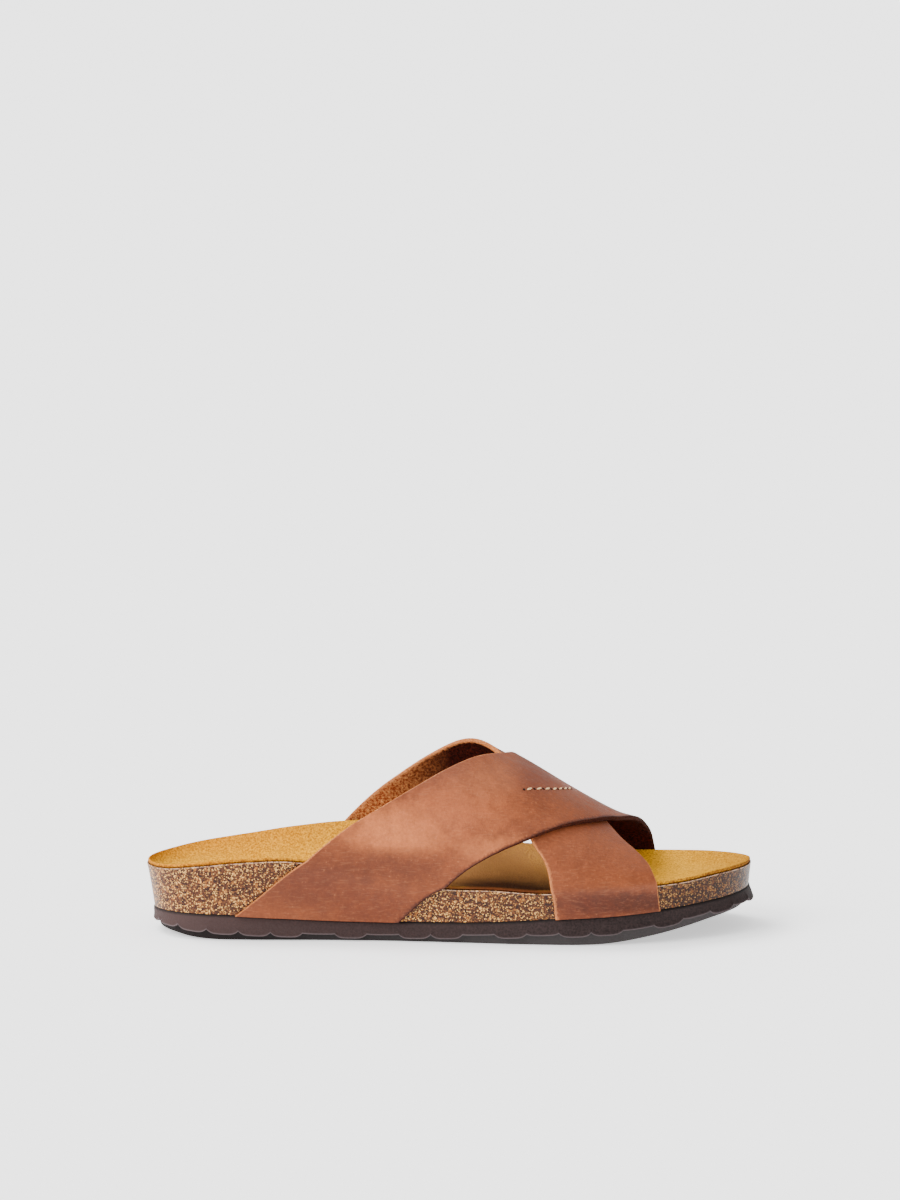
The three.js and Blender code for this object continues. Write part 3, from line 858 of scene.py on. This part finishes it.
def make_strap(name, shape, grain, rear_cut, front_cut):
    """Closed sheet round a strap, with its four finishes: grain face, front edge, flesh face, rear edge."""
    width_at, point_at = shape
    along = np.concatenate([[-1], np.linspace(-1, 1, STRAP_STEPS + 1), [1]])
    width = width_at(along)
    profile = cut_profile()
    start = profile[0][0]
    across = np.linspace(0, 1, WIDTH_STEPS + 1)[1:-1]
    outer = [(mix(start, width - start, share), 0.0) for share in across]
    front = [(width - inset, depth) for inset, depth in profile]
    inner = [(mix(start, width - start, share), STRAP_WALL) for share in reversed(across)]
    rear = [(inset + 0 * width, depth) for inset, depth in reversed(profile)]
    around = outer + front + inner + rear
    around.append(around[0])
    points = []
    for distance, depth in around:
        depths = np.full(len(along), depth)
        depths[[0, -1]] = STRAP_WALL / 2
        points.append(point_at(along, distance, depths))
    from_rear = np.stack([distance + 0 * width for distance, _ in around], axis=1)
    from_front = np.stack([width - distance for distance, _ in around], axis=1)
    bm = fold_sheet(lay_in_frame(np.stack(points, axis=1)), rear=from_rear, front=from_front)
    sheet = bm.loops.layers.uv["sheet"]
    row_count = len(around) - 1
    ends = np.cumsum([len(outer), len(front) - 1, len(inner) + 1, len(rear) - 1])
    for face in bm.faces:
        row = sum(loop[sheet].uv.y for loop in face.loops) / len(face.loops) * row_count
        face.material_index = int(np.searchsorted(ends, row)) % 4
    finishes = [grain, front_cut, flesh, rear_cut]
    finish_mesh(bm, name, finishes, "upper", STRAP_SHARP)


over_shape = strap_shape(OVER_EDGES, OVER_CREASES, 1, OVER_LIFT)
under_shape = strap_shape(UNDER_EDGES, UNDER_CREASES, -1, 0)

RUBBED_TONE = (190, 122, 84)
PEBBLE_SCALE = 1100.0
waxed, given, result = new_group(
    "waxed_grain", {"Place": "Vector", "Ground": "Color"},
    {"Colour": "Color", "Roughness": "Float", "Height": "Float"},
)
mottle = noise(waxed, given["Place"], 0.0045, 4, 0.62)
specks = noise(waxed, given["Place"], 0.0013, 3, 0.6)
broad_tones = remap(waxed, mottle, 0.3, 0.7, 0.86, 1.1)
tones = maths(waxed, "MULTIPLY", broad_tones, remap(waxed, specks, 0.3, 0.7, 0.87, 1.14))
scratches = []
for tilt, seed in ((0.6, 0.0), (-0.75, 0.4)):
    turned = node(waxed, "ShaderNodeMapping", {
        "Vector": given["Place"], "Location": (seed, 0, 0), "Rotation": (0.3, tilt, 0.5 * tilt),
        "Scale": (0.16, 1, 1),
    }).outputs[0]
    scratches.append(remap(waxed, noise(waxed, turned, 0.0008, 2, 0.5), 0.58, 0.7))
scratch = maths(waxed, "MAXIMUM", *scratches)
colour = blend(waxed, 1.0, given["Ground"], tones, "MULTIPLY")
colour = lay(waxed, colour, RUBBED_TONE, scratch, 0.1)
colour = lay(waxed, colour, RUBBED_TONE, remap(waxed, specks, 0.64, 0.76, 0, 0.25))
waxed.links.new(colour, result["Colour"])
waxed.links.new(remap(waxed, mottle, 0.3, 0.7, 0.4, 0.58), result["Roughness"])
cells = node(
    waxed, "ShaderNodeTexVoronoi", {"Vector": given["Place"], "Scale": PEBBLE_SCALE},
    feature="DISTANCE_TO_EDGE",
)
pebbles = maths(waxed, "MINIMUM", cells.outputs["Distance"], 0.15)
height = maths(waxed, "ADD", maths(waxed, "MULTIPLY", pebbles, 2.0), maths(waxed, "MULTIPLY", specks, 0.6))
waxed.links.new(maths(waxed, "SUBTRACT", height, maths(waxed, "MULTIPLY", scratch, 0.15)), result["Height"])

# Rubbed and darker places on the straps' outer faces: centre, reach, strength, tone. The pale rubbed places
# on the over strap's middle are partly painted sheen, where the light falls.
OVER_PATCHES = [
    ((-0.026, -0.042, 0.053), (0.028, 0.05, 0.013), 0.85, (190, 107, 60)),
    ((0.004, -0.032, 0.062), (0.030, 0.05, 0.014), 0.7, (164, 88, 50)),
    ((0.018, -0.020, 0.074), (0.018, 0.05, 0.010), 0.5, (160, 92, 58)),
    ((0.020, -0.035, 0.044), (0.020, 0.05, 0.009), 0.8, (172, 96, 54)),
    ((-0.064, -0.050, 0.028), (0.030, 0.05, 0.014), 0.75, (94, 43, 23)),
    ((-0.036, -0.050, 0.018), (0.026, 0.05, 0.012), 0.6, (90, 39, 20)),
    ((0.042, -0.010, 0.076), (0.015, 0.06, 0.010), 0.6, (96, 44, 25)),
    ((-0.032, -0.045, 0.036), (0.032, 0.05, 0.009), 0.75, (96, 46, 25)),
    ((-0.085, -0.050, 0.012), (0.026, 0.05, 0.006), 0.5, (128, 66, 36)),
]
UNDER_PATCHES = [
    ((0.082, -0.045, 0.0205), (0.046, 0.05, 0.0068), 0.85, (64, 24, 10)),
    ((0.060, -0.045, 0.017), (0.018, 0.05, 0.011), 0.65, (82, 34, 16)),
    ((0.080, -0.045, 0.009), (0.034, 0.05, 0.004), 0.5, (110, 50, 23)),
    ((0.060, -0.030, 0.046), (0.020, 0.05, 0.009), 0.5, (126, 66, 38)),
]


def grain_face(name, patches, edges):
    """Waxed grain side: cognac, with rubbed paler places that are partly painted sheen, darker places, edge
    bands of which the over strap's dark front band is painted shade, and the shared grain; edges holds the
    reach, strength and tone of the rear edge and of the front edge."""
    material, tree, shader = new_material(name, specular_ior_level=0.22)
    place = object_place(tree)
    cloud = place_group(tree, speckle, place=place, size=0.028, low=0.32, high=0.68)["Share"]
    colour = blend(tree, cloud, paint(112, 55, 27), paint(128, 65, 34))
    for patch in patches:
        colour = lay_patch(tree, place, colour, *patch)
    fuzz = place_group(tree, speckle, place=place, size=0.0012, low=0.3, high=0.7)["Share"]
    for side, (reach, strength, tone) in zip(("rear", "front"), edges):
        away = maths(tree, "DIVIDE", mark(tree, side), remap(tree, fuzz, 0, 1, 0.4 * reach, reach))
        colour = lay(tree, colour, tone, remap(tree, away, 0.3, 1, strength, 0))
    grain = place_group(tree, waxed, place=place, ground=colour)
    tree.links.new(grain["Colour"], shader.inputs["Base Color"])
    tree.links.new(grain["Roughness"], shader.inputs["Roughness"])
    tree.links.new(bump(tree, grain["Height"], 0.0003, 0.55), shader.inputs["Normal"])
    return material


fibre, given, result = new_group(
    "fibre", {"Place": "Vector", "Size": "Float", "Dark": "Color", "Pale": "Color"},
    {"Colour": "Color", "Height": "Float"},
)
tufts = place_group(fibre, speckle, place=given["Place"], size=given["Size"], low=0.38, high=0.66)["Share"]
finer = maths(fibre, "MULTIPLY", given["Size"], 0.4)
flecks = place_group(fibre, speckle, place=given["Place"], size=finer, low=0.45, high=0.7)["Share"]
height = maths(fibre, "ADD", tufts, maths(fibre, "MULTIPLY", flecks, 0.5))
share = maths(fibre, "MULTIPLY", tufts, remap(fibre, flecks, 0, 1, 0.45, 1))
fibre.links.new(blend(fibre, share, given["Dark"], given["Pale"]), result["Colour"])
fibre.links.new(height, result["Height"])


def fibrous(name, size, depth, dark, pale, rear_dark=None, rear_pale=None, rim=None):
    """Rough fibres of cut or split leather in two tones, with other tones towards the heel and at the strap's
    rear edge where they are given."""
    material, tree, shader = new_material(name, specular_ior_level=0.1, roughness=0.92)
    place = object_place(tree)
    tones = [paint(*dark), paint(*pale)]
    if rear_dark:
        rearward = remap(tree, along_shoe(tree, place), 0.0, -0.032)
        tones = [lay(tree, tone, rear, rearward) for tone, rear in zip(tones, (rear_dark, rear_pale))]
        fuzz = remap(tree, noise(tree, place, 0.0014), 0.3, 0.7, -0.001, 0.001)
        frayed = maths(tree, "ADD", mark(tree, "rear"), fuzz)
        tones = [lay(tree, tone, rim, remap(tree, frayed, 0.0006, 0.0024, 0.9, 0)) for tone in tones]
    made = place_group(tree, fibre, place=place, size=size, dark=tones[0], pale=tones[1])
    tree.links.new(made["Colour"], shader.inputs["Base Color"])
    tree.links.new(bump(tree, made["Height"], depth, 0.7), shader.inputs["Normal"])
    return material


# Painted shade: the flesh side is darkened to near black towards the toe, the shade inside the straps, and
# keeps paler tones towards the heel.
flesh = fibrous(
    "leather_flesh_side", 0.0011, 0.0006, (34, 8, 5), (98, 34, 20),
    rear_dark=(128, 58, 26), rear_pale=(250, 176, 106), rim=(214, 142, 90),
)
raw_edge = fibrous("leather_raw_edge", 0.0008, 0.0004, (168, 94, 48), (222, 150, 94))
# The over strap's front cut edge is stained dark and painted darker still for the shade under it.
dark_shaded_edge = fibrous("leather_dark_shaded_edge", 0.0008, 0.0004, (44, 15, 7), (92, 40, 20))
# Edge bands: reach, strength and tone by the rear edge and by the front edge. The over strap's wide dark band
# by its front edge is painted shade under that edge.
OVER_RIMS = ((0.0012, 0.8, (206, 134, 90)), (0.0042, 0.95, (58, 22, 11)))
UNDER_RIMS = ((0.0024, 0.8, (190, 116, 66)), (0.001, 0.7, (190, 116, 66)))
under_grain = grain_face("waxed_leather_under", UNDER_PATCHES, UNDER_RIMS)
over_grain = grain_face("waxed_leather_over", OVER_PATCHES, OVER_RIMS)
make_strap("strap_under", under_shape, under_grain, raw_edge, raw_edge)
make_strap("strap_over", over_shape, over_grain, raw_edge, dark_shaded_edge)

# Stitches: one short row of thick cream thread through both straps, each stitch running from hole to hole
# and a little askew, with the punched holes showing dark between them.
STITCH_COUNT = 7
STITCH_LENGTH = 0.0034
THREAD_RADIUS = 0.00042
HOLE_RADIUS = 0.0007
STITCH_SKEW = math.radians(14)
STITCH_NEAR = 0.02
THREAD_LIFT = 0.5
HOLE_FLATNESS = 0.3
TWIST_SCALE = 520.0

# Along and across the over strap at the row's start, middle and end
STITCH_ROW = spline((0, 0.5, 1), ((-0.277, 0.505), (-0.165, 0.56), (-0.035, 0.55)))


def on_over_strap(along, across, depth=0.0):
    width_at, point_at = over_shape
    along = np.array([along, along])
    return Vector(lay_in_frame(point_at(along, across * width_at(along), np.array([depth, depth])))[0])


def stitch_frame(share):
    """Place, run and outward directions at a share of the way along the row."""
    spots = STITCH_ROW(share + np.array([-STITCH_NEAR, 0, STITCH_NEAR]))
    before, here, after = (on_over_strap(*spot) for spot in spots)
    run = (after - before).normalized()
    out = (here - on_over_strap(*spots[1], depth=0.001)).normalized()
    side = out.cross(run).normalized()
    turned = Matrix((run, side, out)).transposed().to_4x4() @ Matrix.Rotation(STITCH_SKEW, 4, "Z")
    return here, turned, out


thread_bm, hole_bm = bmesh.new(), bmesh.new()
for k in range(2 * STITCH_COUNT + 1):
    here, turned, out = stitch_frame(k / (2 * STITCH_COUNT))
    if k % 2:
        size = Matrix.Diagonal((STITCH_LENGTH / 2, THREAD_RADIUS, THREAD_RADIUS, 1))
        laid = Matrix.Translation(here + out * THREAD_LIFT * THREAD_RADIUS) @ turned @ size
        bmesh.ops.create_uvsphere(thread_bm, u_segments=16, v_segments=12, radius=1, matrix=laid)
    else:
        size = Matrix.Diagonal((HOLE_RADIUS, HOLE_RADIUS, HOLE_FLATNESS * HOLE_RADIUS, 1))
        laid = Matrix.Translation(here) @ turned @ size
        bmesh.ops.create_uvsphere(hole_bm, u_segments=16, v_segments=8, radius=1, matrix=laid)

thread, tree, shader = new_material("waxed_thread", specular_ior_level=0.4, roughness=0.6)
place = object_place(tree)
twist = node(
    tree, "ShaderNodeTexWave", {"Vector": place, "Scale": TWIST_SCALE, "Distortion": 0.5},
    bands_direction="DIAGONAL",
).outputs["Fac"]
tree.links.new(blend(tree, twist, paint(216, 160, 100), paint(255, 228, 176)), shader.inputs["Base Color"])
tree.links.new(bump(tree, twist, 0.0002, 0.6), shader.inputs["Normal"])
finish_mesh(thread_bm, "strap_stitches", [thread], None)
# Painted shade: each punched hole is a dark flat lump that stands for the shade inside the hole.
holes = fibrous("hole_shade", 0.0006, 0.0002, (26, 10, 6), (44, 20, 12))
finish_mesh(hole_bm, "stitch_holes", [holes], None)

# Floor and light: a pale studio sweep under a soft white dome, with two wide lamps high on the heel's side.
FLOOR_HALF = 30.0
FLOOR_COLOUR = (0.96, 0.96, 0.96, 1)
bm = bmesh.new()
bmesh.ops.create_grid(bm, x_segments=1, y_segments=1, size=FLOOR_HALF)
pale, tree, shader = new_material("pale_floor", roughness=0.9, specular_ior_level=0.1, emission_strength=0.8)
shader.inputs["Base Color"].default_value = FLOOR_COLOUR
floor = add_mesh(bm, "floor", [pale])

world = bpy.data.worlds.new("studio")
world.use_nodes = True
bpy.context.scene.world = world
tree = world.node_tree
generated = node(tree, "ShaderNodeTexCoord").outputs["Generated"]
direction = node(tree, "ShaderNodeSeparateXYZ", {"Vector": generated}).outputs
rising = remap(tree, direction["Z"], 0, 0.9, 0.7, 1.5)
sky = maths(tree, "MULTIPLY", rising, remap(tree, direction["X"], -0.8, 0.8, 1.45, 0.5))
tree.links.new(sky, tree.nodes["Background"].inputs["Strength"])
tree.nodes["Background"].inputs["Color"].default_value = (1, 1, 1, 1)


def add_lamp(name, direction, energy, angle):
    """Wide distant lamp that shines from the given direction."""
    lamp = bpy.data.lights.new(name, "SUN")
    lamp.energy = energy
    lamp.angle = math.radians(angle)
    add_object(name, lamp).rotation_euler = Vector(direction).to_track_quat("Z", "Y").to_euler()


add_lamp("front_softbox", (-0.75, -0.5, 0.65), 2.8, 40)
add_lamp("rear_softbox", (-0.45, 0.3, 0.85), 2.6, 30)

# Camera: placed as the photograph's, on the foot's outer side and a little above.
VIEW_DISTANCE = 2.6
VIEW_RAISE = math.radians(11)
PIXELS_PER_METRE = 2130
PHOTO_WIDTH, PHOTO_HEIGHT = 900, 1200
ORIGIN_PIXEL = (451, 927)
SENSOR = 36.0
CLIP_END = 200
down = ORIGIN_PIXEL[1] - PHOTO_HEIGHT / 2
focal_pixels = PIXELS_PER_METRE * VIEW_DISTANCE
aim_down = VIEW_RAISE - math.atan(down / focal_pixels)
lens = bpy.data.cameras.new("camera")
lens.sensor_fit = "VERTICAL"
lens.sensor_height = SENSOR
lens.lens = focal_pixels * math.cos(VIEW_RAISE - aim_down) * SENSOR / PHOTO_HEIGHT
lens.clip_end = CLIP_END
camera = add_object("camera", lens)
across = (PHOTO_WIDTH / 2 - ORIGIN_PIXEL[0]) / PIXELS_PER_METRE
camera.location = (across, -VIEW_DISTANCE * math.cos(VIEW_RAISE), VIEW_DISTANCE * math.sin(VIEW_RAISE))
camera.rotation_euler = (math.pi / 2 - aim_down, 0, 0)
bpy.context.scene.camera = camera
